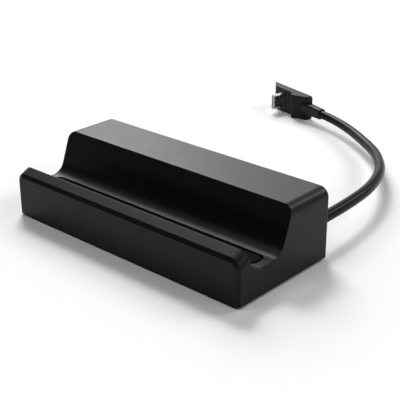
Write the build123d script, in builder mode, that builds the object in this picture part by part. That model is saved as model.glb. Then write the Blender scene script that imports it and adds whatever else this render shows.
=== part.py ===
"""A desk dock for a handheld console: a moulded cradle with a row of sockets behind and a captive lead.

The dock stands on the table at z = 0, its length runs along X and its back looks along +Y.
All sizes are in millimetres.
"""
import os
from math import cos, radians, sin, tan

from build123d import *

os.makedirs("parts", exist_ok=True)

# Outside of the dock
dock_length = 117.0
dock_depth = 50.5
dock_height = 29.0
foot_proud = 1.0
wall = 2.0

# Side profile, setbacks measured from the front face and heights from the table
shoulder_height = 18.3
ridge_height = 20.5
ridge_setback = 4.45
lip_foot_setback = 7.05
trough_height = 12.0
rest_foot_setback = 22.55
rest_lean = 20.3

# Rounding of the shell
lip_fillet = 5.0
rest_fillet = 6.0
end_round = 4.0
front_band_drop = 1.25
front_band_rise = 0.9
back_round = 1.0
rim_round = 0.25

# Cradle pad
pad_width = 6.6
pad_end_margin = 4.2
pad_corner = 2.3
pad_recess = 1.2
pad_proud = 0.05
pad_groove = 1.0
pad_edge = 0.3

# Base cover and feet
base_thickness = 2.0
base_gap = 0.2
base_corner = 0.8
foot_length = 92.0
foot_width = 8.0
foot_recess = 0.6
foot_inset = 5.0
foot_gap = 0.15

# Case screws and their bosses
boss_diameter = 5.0
boss_end_inset = 5.0
boss_front_inset = 12.0
boss_gap = 0.4
case_thread = 1.9
case_thread_gap = 0.05
case_shank = 5.5
case_head = 4.2
case_head_height = 0.8
case_well = 1.0
case_head_gap = 0.25
cross_length = 2.3
cross_width = 0.6
cross_depth = 0.45

# Circuit board and its screws
board_thickness = 1.6
board_gap = 0.5
board_end_gap = 1.0
post_height = 5.4
post_diameter = 4.4
post_inset = 2.8
board_thread = 1.5
board_thread_gap = 0.05
board_shank = 5.0
board_head = 3.6
board_head_height = 1.1

# Socket row
socket_recess = 0.3
window_gap = 0.25
shell_sheet = 0.35
tongue_fit = 0.05

# Network jack
jack_width = 15.7
jack_height = 13.2
jack_depth = 15.6
jack_mouth_width = 11.8
jack_mouth_height = 7.6
jack_mouth_depth = 11.5
jack_mouth_rise = 3.9
jack_latch_width = 6.0
jack_latch_drop = 1.5
jack_key_width = 3.4
jack_key_drop = 1.1
jack_contacts = 8
jack_contact_pitch = 1.02
jack_contact_width = 0.45
jack_contact_thickness = 0.3
jack_contact_length = 7.5
jack_contact_lean = 24.0

# Upright flat sockets
usb_width = 5.72
usb_height = 13.14
usb_depth = 14.0
usb_corner = 0.8
usb_block = 4.5
usb_tongue_width = 11.1
usb_tongue_thickness = 1.84
usb_tongue_reach = 8.4
usb_tongue_offset = 1.1

# First picture socket
video_width = 15.0
video_height = 5.55
video_depth = 11.5
video_cut_width = 2.3
video_cut_height = 1.9
video_block = 3.5
video_tongue_width = 11.2
video_tongue_thickness = 1.9
video_tongue_reach = 6.6

# Second picture socket
display_width = 16.9
display_height = 5.6
display_depth = 13.0
display_cut = 2.0
display_block = 4.5
display_tongue_width = 13.2
display_tongue_thickness = 1.6
display_tongue_reach = 7.0

# Power inlet
power_width = 8.94
power_height = 3.16
power_depth = 8.0
power_sheet = 0.3
power_block = 2.4
power_tongue_width = 6.69
power_tongue_thickness = 0.7
power_tongue_reach = 4.9

# Parts under the board
hub_chip_side = 7.0
video_chip_side = 8.0
network_chip_side = 6.0
power_chip_side = 5.0
chip_height = 0.9
chip_bevel = 0.2
transformer_length = 10.0
transformer_width = 6.6
transformer_height = 3.5
crystal_length = 3.2
crystal_width = 2.5
crystal_height = 0.8
inductor_side = 4.2
inductor_height = 2.4
inductor_spacing = 5.4
capacitor_diameter = 4.0
capacitor_height = 3.8

# Captive lead and its gland
cord_diameter = 4.2
cord_end_inset = 7.0
cord_height = 12.2
cord_straight = 31.5
cord_bends = [(42.7, 85.9, 10.5), (28.4, 107.2, 7.8), (16.0, 119.9, 6.5)]
cord_bend_share = 0.45
gland_collar = 6.6
gland_flange = 9.0
gland_flange_thickness = 2.0
gland_gap = 0.15
gland_margin = 2.5
tail_diameter = 2.8
tail_bend = 3.0
header_length = 5.5
header_depth = 5.0
header_gap = 1.5
header_cover = 0.8

# Right-angled plug
plug_point = (-28.3, 143.35)
plug_heading = 164.8
plug_width = 12.6
plug_length = 25.6
plug_slant = 6.4
plug_lead_in = 15.9
plug_setback = 10.4
plug_back = 2.5
plug_front = 2.1
plug_shoulder = 4.8
plug_lead_front = 0.3
plug_step = 12.1
plug_step_run = 3.6
plug_step_round = 0.9
plug_edge = 0.4
plug_lead_round = 1.5
plug_corner = 0.4
relief_length = 15.0
relief_height = 6.2
relief_end_height = 5.2
relief_thickness = 4.4
relief_corner = 1.4
relief_gap = 0.05
tip_width = 8.25
tip_thickness = 2.4
tip_length = 6.5
tip_sheet = 0.3
tip_setback = 6.2
tip_block = 2.0

# Places that follow from the sizes
half_length = dock_length / 2
front_y = -dock_depth / 2
back_y = dock_depth / 2
inner_back_y = back_y - wall
inner_half_length = half_length - wall
ridge_y = front_y + ridge_setback
lip_foot_y = front_y + lip_foot_setback
rest_foot_y = front_y + rest_foot_setback
rest_top_y = rest_foot_y + (dock_height - trough_height) * tan(radians(rest_lean))
base_top = foot_proud + base_thickness
board_bottom = base_top + post_height
board_top = board_bottom + board_thickness
face_y = back_y - socket_recess
jack_rear_y = face_y - jack_depth - shell_sheet
pad_y = (lip_foot_y + rest_foot_y) / 2
boss_x = half_length - boss_end_inset
boss_front_y = front_y + boss_front_inset
boss_rear_y = jack_rear_y - boss_gap - boss_diameter / 2
boss_places = [(x, y) for x in (-boss_x, boss_x) for y in (boss_front_y, boss_rear_y)]
foot_y = back_y - wall - foot_inset - foot_width / 2
foot_places = [(0, -foot_y), (0, foot_y)]
cord_x = half_length - cord_end_inset

# The sockets share the row between the left end wall and the lead's gland in even gaps
row_left = -inner_half_length + board_end_gap
row_right = cord_x - gland_flange / 2 - gland_margin
jack_outer_width = jack_width + 2 * shell_sheet
row_widths = [jack_outer_width, usb_width, usb_width, usb_width, video_width, display_width, power_width]
row_gap = (row_right - row_left - sum(row_widths)) / (len(row_widths) - 1)
row_starts = [row_left + sum(row_widths[:i]) + i * row_gap for i in range(len(row_widths))]
row_centres = [start + width / 2 for start, width in zip(row_starts, row_widths)]
jack_x, usb_1_x, usb_2_x, usb_3_x, video_x, display_x, power_x = row_centres
power_rear_y = face_y - power_depth

# The board reaches from the leaning rest's inner face to the back wall
board_back_y = inner_back_y - board_gap
board_front_y = rest_foot_y + (board_top - trough_height) * tan(radians(rest_lean))
board_front_y += wall / cos(radians(rest_lean)) + 2 * board_gap
board_mid_y = (board_front_y + board_back_y) / 2
board_screw_y = board_front_y + post_inset
board_screw_places = [(x, board_screw_y) for x in (usb_1_x, video_x, power_x)]
post_places = board_screw_places + [(x, board_back_y - post_inset) for x in (usb_1_x, video_x, power_x)]


def socket_plane(x, height):
    """The plane of a socket's mouth, centred on the socket, looking into the dock."""
    return Plane((x, face_y, board_top + height / 2), x_dir=(1, 0, 0), z_dir=(0, -1, 0))


jack_plane = socket_plane(jack_x, jack_height + shell_sheet)
usb_planes = [socket_plane(x, usb_height) for x in (usb_1_x, usb_2_x, usb_3_x)]
video_plane = socket_plane(video_x, video_height)
display_plane = socket_plane(display_x, display_height)
power_plane = socket_plane(power_x, power_height)


def video_outline(grow):
    """The first picture socket's outline: a slot with its two lower corners cut away."""
    side = video_width / 2
    top = video_height / 2
    Polygon(
        (-side, top),
        (side, top),
        (side, video_cut_height - top),
        (side - video_cut_width, -top),
        (video_cut_width - side, -top),
        (-side, video_cut_height - top),
        align=None,
    )
    if grow != 0:
        offset(amount=grow, kind=Kind.INTERSECTION)


def display_outline(grow):
    """The second picture socket's outline: a slot with one lower corner cut away."""
    side = display_width / 2
    top = display_height / 2
    Polygon(
        (-side, top),
        (side, top),
        (side, display_cut - top),
        (side - display_cut, -top),
        (-side, -top),
        align=None,
    )
    if grow != 0:
        offset(amount=grow, kind=Kind.INTERSECTION)


# Side profile of the shell
with BuildSketch(Plane.YZ) as side_profile:
    with BuildLine():
        Polyline(
            (front_y, foot_proud),
            (front_y, shoulder_height),
            (ridge_y, ridge_height),
            (lip_foot_y, trough_height),
            (rest_foot_y, trough_height),
            (rest_top_y, dock_height),
            (back_y, dock_height),
            (back_y, foot_proud),
            close=True,
        )
    make_face()
    fillet(side_profile.vertices().sort_by_distance((lip_foot_y, trough_height))[0], lip_fillet)
    fillet(side_profile.vertices().sort_by_distance((rest_foot_y, trough_height))[0], rest_fillet)

# Hollow of the shell: the side profile set in by the wall, open below, with pockets for the bosses
with BuildPart() as shell_core:
    with BuildSketch(Plane.YZ) as core_profile:
        add(side_profile.sketch_local)
        offset(amount=-wall, kind=Kind.INTERSECTION)
    extrude(amount=inner_half_length, both=True)
    with BuildSketch(Plane.XY.offset(base_top)):
        Rectangle(2 * inner_half_length, dock_depth - 2 * wall)
    extrude(amount=-2 * base_thickness)
    with BuildSketch(Plane.XY.offset(base_top)):
        with Locations(*boss_places):
            Circle(boss_diameter / 2)
    extrude(amount=dock_height, mode=Mode.SUBTRACT)

# Upper housing
with BuildPart() as upper_housing:
    extrude(side_profile.sketch, amount=half_length, both=True)
    chamfer_mid = ((front_y + ridge_y) / 2, (shoulder_height + ridge_height) / 2)
    top_mid = ((rest_top_y + back_y) / 2, dock_height)
    end_points = [(x, y, z) for x in (-half_length, half_length) for y, z in (chamfer_mid, top_mid)]
    fillet([edges().sort_by_distance(point)[0] for point in end_points], end_round)
    front_edge = edges().sort_by_distance((0, front_y, shoulder_height))[0]
    front_face = faces().sort_by(Axis.Y)[0]
    chamfer(front_edge, front_band_drop, front_band_rise, reference=front_face)
    fillet(edges().sort_by_distance((0, back_y, dock_height))[0], back_round)
    fillet(edges().sort_by_distance((0, ridge_y, ridge_height))[0], rim_round)
    add(shell_core.part, mode=Mode.SUBTRACT)
    # Pilot holes in the bosses
    with BuildSketch(Plane.XY.offset(base_top)):
        with Locations(*boss_places):
            Circle(case_thread / 2 + case_thread_gap)
    extrude(amount=case_shank, mode=Mode.SUBTRACT)
    # Recess for the cradle pad
    with BuildSketch(Plane.XY.offset(trough_height - pad_recess)):
        with Locations((0, pad_y)):
            RectangleRounded(
                dock_length - 2 * pad_end_margin + 2 * pad_groove,
                pad_width + 2 * pad_groove,
                pad_corner + pad_groove,
            )
    extrude(amount=2 * pad_recess, mode=Mode.SUBTRACT)
    # Windows in the back wall
    with BuildSketch(jack_plane):
        Rectangle(jack_outer_width + 2 * window_gap, jack_height + shell_sheet + 2 * window_gap)
    for plane in usb_planes:
        with BuildSketch(plane):
            RectangleRounded(usb_width + 2 * window_gap, usb_height + 2 * window_gap, usb_corner + window_gap)
    with BuildSketch(video_plane):
        video_outline(window_gap)
    with BuildSketch(display_plane):
        display_outline(window_gap)
    with BuildSketch(power_plane):
        SlotOverall(power_width + 2 * window_gap, power_height + 2 * window_gap)
    with BuildSketch(Plane((cord_x, face_y, cord_height), x_dir=(1, 0, 0), z_dir=(0, -1, 0))):
        Circle(gland_collar / 2 + gland_gap)
    extrude(amount=wall, both=True, mode=Mode.SUBTRACT)
upper_housing.part.label = "upper_housing"
export_step(upper_housing.part, "parts/upper_housing.step")

# Base cover
with BuildPart() as base_cover:
    with BuildSketch(Plane.XY.offset(foot_proud)):
        RectangleRounded(
            2 * (inner_half_length - base_gap), dock_depth - 2 * (wall + base_gap), base_corner
        )
    extrude(amount=base_thickness)
    with BuildSketch(Plane.XY.offset(base_top)):
        with Locations(*post_places):
            Circle(post_diameter / 2)
    extrude(amount=post_height)
    with BuildSketch(Plane.XY.offset(board_bottom)):
        with Locations(*board_screw_places):
            Circle(board_thread / 2 + board_thread_gap)
    extrude(amount=-post_height, mode=Mode.SUBTRACT)
    with BuildSketch(Plane.XY.offset(foot_proud)):
        with Locations(*boss_places):
            Circle(case_head / 2 + case_head_gap)
    extrude(amount=case_well, mode=Mode.SUBTRACT)
    with BuildSketch(Plane.XY.offset(foot_proud)):
        with Locations(*boss_places):
            Circle(case_thread / 2 + case_head_gap)
    extrude(amount=base_thickness, mode=Mode.SUBTRACT)
    with BuildSketch(Plane.XY.offset(foot_proud)):
        with Locations(*foot_places):
            SlotOverall(foot_length + 2 * foot_gap, foot_width + 2 * foot_gap)
    extrude(amount=foot_recess, mode=Mode.SUBTRACT)
base_cover.part.label = "base_cover"
export_step(base_cover.part, "parts/base_cover.step")

# Cradle pad
with BuildPart() as cradle_pad:
    with BuildSketch(Plane.XY.offset(trough_height - pad_recess)):
        with Locations((0, pad_y)):
            RectangleRounded(dock_length - 2 * pad_end_margin, pad_width, pad_corner)
    extrude(amount=pad_recess + pad_proud)
    fillet(cradle_pad.edges().group_by(Axis.Z)[-1], pad_edge)
cradle_pad.part.label = "cradle_pad"
export_step(cradle_pad.part, "parts/cradle_pad.step")

# Feet
with BuildPart() as feet:
    with BuildSketch(Plane.XY):
        with Locations(*foot_places):
            SlotOverall(foot_length, foot_width)
    extrude(amount=foot_proud + foot_recess)
    chamfer(feet.edges().group_by(Axis.Z)[0], foot_recess / 2)
feet.part.label = "feet"
export_step(feet.part, "parts/feet.step")

# Case screws
with BuildPart() as case_screws:
    with BuildSketch(Plane.XY.offset(foot_proud + case_well)):
        with Locations(*boss_places):
            Circle(case_head / 2)
    extrude(amount=-case_head_height)
    fillet(case_screws.edges().group_by(Axis.Z)[0], case_head_height / 2)
    with BuildSketch(Plane.XY.offset(foot_proud + case_well)):
        with Locations(*boss_places):
            Circle(case_thread / 2)
    extrude(amount=case_shank)
    with BuildSketch(Plane.XY.offset(foot_proud + case_well - case_head_height)):
        with Locations(*boss_places):
            Rectangle(cross_length, cross_width)
            Rectangle(cross_width, cross_length)
    extrude(amount=cross_depth, mode=Mode.SUBTRACT)
case_screws.part.label = "case_screws"
export_step(case_screws.part, "parts/case_screws.step")

# Circuit board, cut away at the corner where a boss passes it
with BuildPart() as circuit_board:
    with BuildSketch(Plane.XY.offset(board_bottom)):
        with Locations((row_left, board_front_y)):
            Rectangle(row_right - row_left, board_back_y - board_front_y, align=(Align.MIN, Align.MIN))
        with Locations((row_left, board_front_y)):
            Rectangle(
                boss_diameter / 2 + board_gap - boss_x - row_left,
                boss_rear_y + boss_diameter / 2 + board_gap - board_front_y,
                align=(Align.MIN, Align.MIN),
                mode=Mode.SUBTRACT,
            )
        with Locations(*board_screw_places):
            Circle(board_thread / 2 + 3 * board_thread_gap, mode=Mode.SUBTRACT)
    extrude(amount=board_thickness)
circuit_board.part.label = "circuit_board"
export_step(circuit_board.part, "parts/circuit_board.step")

# Board screws
with BuildPart() as board_screws:
    with BuildSketch(Plane.XY.offset(board_top)):
        with Locations(*board_screw_places):
            Circle(board_head / 2)
    extrude(amount=board_head_height)
    fillet(board_screws.edges().group_by(Axis.Z)[-1], board_head_height / 2)
    with BuildSketch(Plane.XY.offset(board_top)):
        with Locations(*board_screw_places):
            Circle(board_thread / 2)
    extrude(amount=-board_shank)
    with BuildSketch(Plane.XY.offset(board_top + board_head_height)):
        with Locations(*board_screw_places):
            Rectangle(cross_length, cross_width)
            Rectangle(cross_width, cross_length)
    extrude(amount=-cross_depth, mode=Mode.SUBTRACT)
board_screws.part.label = "board_screws"
export_step(board_screws.part, "parts/board_screws.step")

# Network jack: moulded body with a stepped mouth
jack_body_plane = Plane((jack_x, face_y, board_top), x_dir=(1, 0, 0), z_dir=(0, -1, 0))
with BuildPart() as network_body:
    with BuildSketch(jack_body_plane):
        Rectangle(jack_width, jack_height, align=(Align.CENTER, Align.MIN))
    extrude(amount=jack_depth)
    with BuildSketch(jack_body_plane):
        with Locations((0, jack_mouth_rise)):
            Rectangle(jack_mouth_width, jack_mouth_height, align=(Align.CENTER, Align.MIN))
            Rectangle(jack_latch_width, 2 * jack_latch_drop)
        with Locations((0, jack_mouth_rise - jack_latch_drop)):
            Rectangle(jack_key_width, 2 * jack_key_drop)
    extrude(amount=jack_mouth_depth, mode=Mode.SUBTRACT)
network_body.part.label = "network_body"
export_step(network_body.part, "parts/network_body.step")

# Folded shield over the jack's top, sides and rear
with BuildPart() as network_shield:
    with BuildSketch(jack_body_plane):
        Rectangle(jack_outer_width, jack_height + shell_sheet, align=(Align.CENTER, Align.MIN))
    extrude(amount=jack_depth + shell_sheet)
    with BuildSketch(jack_body_plane):
        Rectangle(jack_width, jack_height, align=(Align.CENTER, Align.MIN))
    extrude(amount=jack_depth, mode=Mode.SUBTRACT)
network_shield.part.label = "network_shield"
export_step(network_shield.part, "parts/network_shield.step")

# Contact wires that spring down from the mouth's roof
jack_roof = board_top + jack_mouth_rise + jack_mouth_height
jack_end_y = face_y - jack_mouth_depth
with BuildPart() as network_contacts:
    for i in range(jack_contacts):
        contact_x = jack_x + (i - (jack_contacts - 1) / 2) * jack_contact_pitch - jack_contact_width / 2
        with BuildSketch(Plane.YZ.offset(contact_x)):
            with BuildLine():
                bend = (jack_end_y + jack_contact_length, jack_roof)
                tip_y = bend[0] - jack_contact_length * cos(radians(jack_contact_lean))
                tip_z = bend[1] - jack_contact_length * sin(radians(jack_contact_lean))
                Polyline(
                    (jack_end_y, jack_roof),
                    bend,
                    (tip_y, tip_z),
                    (tip_y, tip_z + jack_contact_thickness),
                    (bend[0] - 4 * jack_contact_thickness, bend[1] - jack_contact_thickness),
                    (jack_end_y, jack_roof - jack_contact_thickness),
                    close=True,
                )
            make_face()
        extrude(amount=jack_contact_width)
network_contacts.part.label = "network_contacts"
export_step(network_contacts.part, "parts/network_contacts.step")

# Three upright flat sockets: a folded shell each, and a tongue on a block at its rear
for number, plane in enumerate(usb_planes, start=1):
    with BuildPart() as usb_shell:
        with BuildSketch(plane):
            RectangleRounded(usb_width, usb_height, usb_corner)
            RectangleRounded(
                usb_width - 2 * shell_sheet, usb_height - 2 * shell_sheet, usb_corner - shell_sheet,
                mode=Mode.SUBTRACT,
            )
        extrude(amount=usb_depth)
    usb_shell.part.label = f"usb_shell_{number}"
    export_step(usb_shell.part, f"parts/usb_shell_{number}.step")
    with BuildPart() as usb_tongue:
        with BuildSketch(plane.offset(usb_depth)):
            usb_room = shell_sheet + tongue_fit
            RectangleRounded(usb_width - 2 * usb_room, usb_height - 2 * usb_room, usb_corner - shell_sheet)
        extrude(amount=-usb_block)
        with BuildSketch(plane.offset(usb_depth - usb_block)):
            with Locations((usb_tongue_offset, 0)):
                Rectangle(usb_tongue_thickness, usb_tongue_width)
        extrude(amount=-usb_tongue_reach)
        chamfer(usb_tongue.edges().group_by(Axis.Y)[-1], usb_tongue_thickness / 5)
    usb_tongue.part.label = f"usb_tongue_{number}"
    export_step(usb_tongue.part, f"parts/usb_tongue_{number}.step")

# First picture socket
with BuildPart() as video_shell:
    with BuildSketch(video_plane):
        video_outline(0)
    extrude(amount=video_depth)
    with BuildSketch(video_plane):
        video_outline(-shell_sheet)
    extrude(amount=video_depth, mode=Mode.SUBTRACT)
video_shell.part.label = "video_shell"
export_step(video_shell.part, "parts/video_shell.step")

with BuildPart() as video_tongue:
    with BuildSketch(video_plane.offset(video_depth)):
        video_outline(-shell_sheet - tongue_fit)
    extrude(amount=-video_block)
    with BuildSketch(video_plane.offset(video_depth - video_block)):
        Rectangle(video_tongue_width, video_tongue_thickness)
    extrude(amount=-video_tongue_reach)
video_tongue.part.label = "video_tongue"
export_step(video_tongue.part, "parts/video_tongue.step")

# Second picture socket
with BuildPart() as display_shell:
    with BuildSketch(display_plane):
        display_outline(0)
    extrude(amount=display_depth)
    with BuildSketch(display_plane):
        display_outline(-shell_sheet)
    extrude(amount=display_depth, mode=Mode.SUBTRACT)
display_shell.part.label = "display_shell"
export_step(display_shell.part, "parts/display_shell.step")

with BuildPart() as display_tongue:
    with BuildSketch(display_plane.offset(display_depth)):
        display_outline(-shell_sheet - tongue_fit)
    extrude(amount=-display_block)
    with BuildSketch(display_plane.offset(display_depth - display_block)):
        Rectangle(display_tongue_width, display_tongue_thickness)
    extrude(amount=-display_tongue_reach)
display_tongue.part.label = "display_tongue"
export_step(display_tongue.part, "parts/display_tongue.step")

# Power inlet
with BuildPart() as power_shell:
    with BuildSketch(power_plane):
        SlotOverall(power_width, power_height)
        SlotOverall(power_width - 2 * power_sheet, power_height - 2 * power_sheet, mode=Mode.SUBTRACT)
    extrude(amount=power_depth)
power_shell.part.label = "power_shell"
export_step(power_shell.part, "parts/power_shell.step")

with BuildPart() as power_tongue:
    with BuildSketch(power_plane.offset(power_depth)):
        power_room = power_sheet + tongue_fit
        SlotOverall(power_width - 2 * power_room, power_height - 2 * power_room)
    extrude(amount=-power_block)
    with BuildSketch(power_plane.offset(power_depth - power_block)):
        Rectangle(power_tongue_width, power_tongue_thickness)
    extrude(amount=-power_tongue_reach)
power_tongue.part.label = "power_tongue"
export_step(power_tongue.part, "parts/power_tongue.step")

# Chips soldered under the board
chips = {
    "hub_chip": (usb_3_x, hub_chip_side),
    "video_chip": (video_x, video_chip_side),
    "network_chip": (usb_1_x, network_chip_side),
    "power_chip": (display_x, power_chip_side),
}
for name, (chip_x, side) in chips.items():
    with BuildPart() as chip:
        with BuildSketch(Plane.XY.offset(board_bottom)):
            with Locations((chip_x, board_mid_y)):
                Rectangle(side, side)
        extrude(amount=-chip_height)
        chamfer(chip.edges().group_by(Axis.Z)[0], chip_bevel)
    chip.part.label = name
    export_step(chip.part, f"parts/{name}.step")

# Isolating transformer of the network jack, beside the boss
transformer_x = boss_diameter / 2 + board_gap + transformer_length / 2 - boss_x
with BuildPart() as network_transformer:
    with BuildSketch(Plane.XY.offset(board_bottom)):
        with Locations((transformer_x, board_mid_y)):
            Rectangle(transformer_length, transformer_width)
    extrude(amount=-transformer_height)
    chamfer(network_transformer.edges().group_by(Axis.Z)[0], chip_bevel)
network_transformer.part.label = "network_transformer"
export_step(network_transformer.part, "parts/network_transformer.step")

# Clock cans
with BuildPart() as crystals:
    with BuildSketch(Plane.XY.offset(board_bottom)):
        with Locations((usb_2_x, board_mid_y), ((usb_3_x + video_x) / 2, board_mid_y)):
            Rectangle(crystal_width, crystal_length)
    extrude(amount=-crystal_height)
crystals.part.label = "crystals"
export_step(crystals.part, "parts/crystals.step")

# Power chokes
with BuildPart() as inductors:
    with BuildSketch(Plane.XY.offset(board_bottom)):
        with Locations(*[(power_x + side * inductor_spacing / 2, board_mid_y) for side in (-1, 1)]):
            Rectangle(inductor_side, inductor_side)
    extrude(amount=-inductor_height)
    chamfer(inductors.edges().group_by(Axis.Z)[0], chip_bevel)
inductors.part.label = "inductors"
export_step(inductors.part, "parts/inductors.step")

# Buffer cans
with BuildPart() as capacitors:
    with BuildSketch(Plane.XY.offset(board_bottom)):
        with Locations(((video_x + display_x) / 2, board_mid_y), ((display_x + power_x) / 2, board_mid_y)):
            Circle(capacitor_diameter / 2)
    extrude(amount=-capacitor_height)
    fillet(capacitors.edges().group_by(Axis.Z)[0], chip_bevel)
capacitors.part.label = "capacitors"
export_step(capacitors.part, "parts/capacitors.step")

# Header on the board that takes the lead's inner end
header_y = power_rear_y - header_gap - header_depth / 2
with BuildPart() as lead_header:
    with BuildSketch(Plane.XY.offset(board_top)):
        with Locations((row_right, header_y)):
            Rectangle(header_length, header_depth, align=(Align.MAX, Align.CENTER))
    extrude(amount=cord_height + tail_diameter / 2 + header_cover - board_top)
lead_header.part.label = "lead_header"
export_step(lead_header.part, "parts/lead_header.step")

# Gland: a collar through the back wall with a flange inside it
with BuildPart() as cord_gland:
    with BuildSketch(Plane((cord_x, back_y, cord_height), x_dir=(1, 0, 0), z_dir=(0, -1, 0))):
        Circle(gland_collar / 2)
    extrude(amount=wall)
    with BuildSketch(Plane((cord_x, inner_back_y, cord_height), x_dir=(1, 0, 0), z_dir=(0, -1, 0))):
        Circle(gland_flange / 2)
    extrude(amount=gland_flange_thickness)
cord_gland.part.label = "cord_gland"
export_step(cord_gland.part, "parts/cord_gland.step")

# The lead's inner end, bent round to the header
gland_rear_y = inner_back_y - gland_flange_thickness
with BuildPart() as lead_tail:
    with BuildLine() as tail_line:
        FilletPolyline(
            (cord_x, gland_rear_y, cord_height),
            (cord_x, header_y, cord_height),
            (row_right, header_y, cord_height),
            radius=tail_bend,
        )
    with BuildSketch(Plane((cord_x, gland_rear_y, cord_height), x_dir=(1, 0, 0), z_dir=(0, -1, 0))):
        Circle(tail_diameter / 2)
    sweep(path=tail_line.line)
lead_tail.part.label = "lead_tail"
export_step(lead_tail.part, "parts/lead_tail.step")

# Captive lead: level out of the back wall, then round to the plug that rests on the table
plug_end = Vector(plug_point[0], plug_point[1], plug_width / 2)
plug_along = Vector(cos(radians(plug_heading)), sin(radians(plug_heading)), 0)
cord_route = [
    Vector(cord_x, back_y, cord_height),
    Vector(cord_x, back_y + cord_straight, cord_height),
    *[Vector(*bend) for bend in cord_bends],
    plug_end - plug_along * plug_lead_in,
    plug_end,
]
cord_radii = []
for before, corner, after in zip(cord_route, cord_route[1:], cord_route[2:]):
    turn = (corner - before).get_angle(after - corner)
    shorter = min((corner - before).length, (after - corner).length)
    cord_radii.append(cord_bend_share * shorter / tan(radians(turn / 2)))
print("cord radii", [round(radius, 1) for radius in cord_radii])

with BuildPart() as cord:
    with BuildLine() as cord_line:
        FilletPolyline(*cord_route, radius=cord_radii)
    with BuildSketch(Plane(cord_route[0], x_dir=(1, 0, 0), z_dir=(0, 1, 0))):
        Circle(cord_diameter / 2)
    sweep(path=cord_line.line)
print("cord length", round(cord_line.wire().length, 2), "volume", round(cord.part.volume, 2))
cord.part.label = "cord"
export_step(cord.part, "parts/cord.step")

# Plug frame: x runs from the lead into the plug, y the way the metal tip points
plug_plane = Plane(plug_end, x_dir=plug_along, z_dir=(0, 0, 1))
head_start = plug_setback
head_end = plug_setback + plug_length

# Sleeve between plug and lead, tapering towards the lead
relief_plane = Plane(cord_route[-1], x_dir=plug_plane.y_dir, z_dir=plug_plane.x_dir)
with BuildPart() as plug_relief:
    with BuildSketch(relief_plane):
        RectangleRounded(relief_thickness, relief_end_height, relief_corner)
    with BuildSketch(relief_plane.offset(relief_length)):
        RectangleRounded(relief_thickness, relief_height, relief_corner)
    loft()
plug_relief.part.label = "plug_relief"
export_step(plug_relief.part, "parts/plug_relief.step")

# Plug body: thin and slanted off where it carries the tip, with a shoulder that slopes to the lead
with BuildPart() as plug_body:
    with BuildSketch(plug_plane.offset(-plug_width / 2)) as head_plan:
        with BuildLine():
            Polyline(
                (head_start, -plug_back),
                (head_end + plug_slant, -plug_back),
                (head_end, plug_front),
                (head_start + plug_step, plug_front),
                (head_start + plug_step - plug_step_run, plug_shoulder),
                (head_start, plug_lead_front),
                close=True,
            )
        make_face()
        step_corner = (head_start + plug_step - plug_step_run / 2, (plug_front + plug_shoulder) / 2)
        fillet(head_plan.vertices().sort_by_distance(step_corner)[:2], plug_step_round)
        fillet(head_plan.vertices().sort_by(Axis.X)[-2:], plug_corner)
    extrude(amount=plug_width)
    lead_face = plug_body.faces().sort_by_distance(plug_plane.from_local_coords((0, 0, 0)))[0]
    fillet(lead_face.edges().filter_by(Axis.Z, reverse=True), plug_lead_round)
    rims = plug_body.faces().sort_by(Axis.Z)[0].edges() + plug_body.faces().sort_by(Axis.Z)[-1].edges()
    fillet(rims.sort_by_distance(plug_plane.from_local_coords((0, 0, 0)))[2:], plug_edge)
    with BuildSketch(relief_plane.offset(relief_length)):
        RectangleRounded(relief_thickness + 2 * relief_gap, relief_height + 2 * relief_gap, relief_corner)
    extrude(amount=-relief_length, mode=Mode.SUBTRACT)
plug_body.part.label = "plug_body"
export_step(plug_body.part, "parts/plug_body.step")

# Metal tip and the contact block in its root
tip_root = plug_plane.from_local_coords((head_end - tip_setback, plug_front, 0))
tip_plane = Plane(tip_root, x_dir=(0, 0, 1), z_dir=plug_plane.y_dir)
with BuildPart() as plug_tip:
    with BuildSketch(tip_plane):
        SlotOverall(tip_width, tip_thickness)
        SlotOverall(tip_width - 2 * tip_sheet, tip_thickness - 2 * tip_sheet, mode=Mode.SUBTRACT)
    extrude(amount=tip_length)
plug_tip.part.label = "plug_tip"
export_step(plug_tip.part, "parts/plug_tip.step")

with BuildPart() as plug_tongue:
    with BuildSketch(tip_plane):
        tip_room = tip_sheet + tongue_fit
        SlotOverall(tip_width - 2 * tip_room, tip_thickness - 2 * tip_room)
    extrude(amount=tip_block)
plug_tongue.part.label = "plug_tongue"
export_step(plug_tongue.part, "parts/plug_tongue.step")
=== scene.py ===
"""Looks of a desk dock for a handheld console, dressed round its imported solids.

The frame is in metres. The dock stands on the table at z = 0, its length runs along X and its back,
with the row of sockets, looks along +Y. Sizes below are in millimetres unless a name says otherwise.
"""
import logging
import math
from dataclasses import asdict, dataclass, fields
from enum import Enum
from typing import Mapping, Optional, Sequence, Union

import bmesh
import bpy
from mathutils import Matrix, Vector


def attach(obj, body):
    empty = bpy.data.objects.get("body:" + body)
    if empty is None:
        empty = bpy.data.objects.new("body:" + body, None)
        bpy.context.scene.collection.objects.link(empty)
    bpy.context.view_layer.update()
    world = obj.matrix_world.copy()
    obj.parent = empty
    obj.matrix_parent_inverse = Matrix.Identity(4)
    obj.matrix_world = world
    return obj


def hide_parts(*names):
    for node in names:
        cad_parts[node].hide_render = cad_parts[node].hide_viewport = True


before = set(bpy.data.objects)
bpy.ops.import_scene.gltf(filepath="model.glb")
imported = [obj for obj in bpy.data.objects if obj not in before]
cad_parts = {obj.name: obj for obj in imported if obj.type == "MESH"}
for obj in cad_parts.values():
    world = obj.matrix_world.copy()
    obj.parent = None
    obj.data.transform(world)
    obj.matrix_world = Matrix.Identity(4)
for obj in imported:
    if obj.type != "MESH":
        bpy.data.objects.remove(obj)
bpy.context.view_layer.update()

log = logging.getLogger("dock")
BODY = "root"
MM = 0.001
BLACK = (0.0, 0.0, 0.0)
WHITE = (1.0, 1.0, 1.0)

Triple = tuple[float, float, float]
Feed = Union["Tone", float, tuple, list]


# Shader maths

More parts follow.
